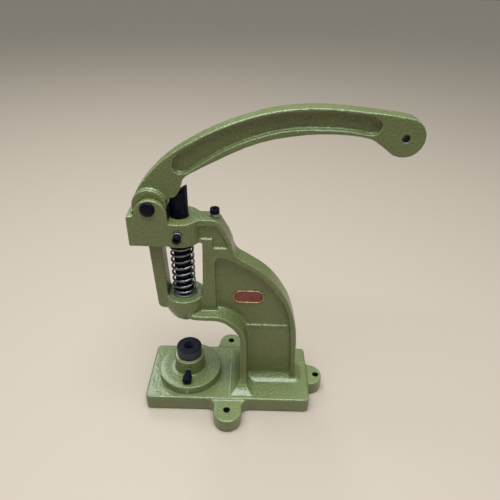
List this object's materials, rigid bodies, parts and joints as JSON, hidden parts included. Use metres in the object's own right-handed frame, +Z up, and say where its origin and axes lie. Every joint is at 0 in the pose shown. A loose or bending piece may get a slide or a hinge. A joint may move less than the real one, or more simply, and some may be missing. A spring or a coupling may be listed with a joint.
{
  "type": "snap setting press",
  "caption": "Cast hand press with a swinging handle whose cam nose drives a spring-returned ram down onto a lower die, for setting snaps and rivets.",
  "frame": {"origin": "centre of the base plate's rectangle, on the underside that stands on the bench", "axes": "+X along the base towards the handle's end, +Y across the press to its rear, +Z up along the ram"},
  "size_m": [0.2728, 0.1431, 0.3502],
  "materials": {
    "enamelled_casting": "olive green hammer enamel on cast iron",
    "black_steel": "oiled black oxide",
    "spring_steel": "dark blued wire",
    "zinc_steel": "dull zinc plate",
    "brass": "worn brass",
    "red_enamel": "red enamel"
  },
  "bodies": {
    "frame": {"press_base": "enamelled_casting", "press_frame": "enamelled_casting", "die_holder": "enamelled_casting", "die_holder_bolt": "zinc_steel", "die_holder_lock_washer": "zinc_steel", "guide_screw": "black_steel", "guide_screw_washer": "zinc_steel", "stop_locknut": "zinc_steel", "spring_seat_washer": "zinc_steel", "return_spring": "spring_steel", "pivot_pin": "black_steel", "pivot_washer": "zinc_steel", "pivot_snap_ring": "spring_steel", "badge_rim": "brass", "badge_inlay": "red_enamel"},
    "lever": {"lever": "enamelled_casting"},
    "ram": {"ram": "black_steel", "spring_collar": "black_steel", "ram_snap_ring": "spring_steel", "ram_grub_screw": "black_steel"},
    "lower_die": {"lower_die": "black_steel"},
    "die_set_screw": {"die_set_screw": "black_steel"},
    "stop_screw": {"stop_screw": "black_steel"}
  },
  "joints": [
    {"name": "lever_swing", "type": "hinge", "parent": "frame", "child": "lever", "pos_m": [-0.0745, 0, 0.256], "axis": [0, 1, 0], "range_deg": [0, 38]},
    {"name": "ram_slide", "type": "slide", "parent": "frame", "child": "ram", "axis": [0, 0, -1], "range_m": [0, 0.0208], "stiffness_N_per_m": 2000, "springref_m": -0.03, "deforming": ["return_spring"]},
    {"name": "die_lift", "type": "slide", "parent": "frame", "child": "lower_die", "axis": [0, 0, 1], "range_m": [0, 0.0182]},
    {"name": "die_screw_back_off", "type": "slide", "parent": "frame", "child": "die_set_screw", "axis": [0, -1, 0], "range_m": [0, 0.004]},
    {"name": "stop_screw_adjust", "type": "slide", "parent": "frame", "child": "stop_screw", "axis": [0, 0, 1], "range_m": [0, 0.0035]}
  ],
  "couplings": [
    {"joint": "ram_slide", "follows": "lever_swing", "m_per_rad": 0.031}
  ]
}
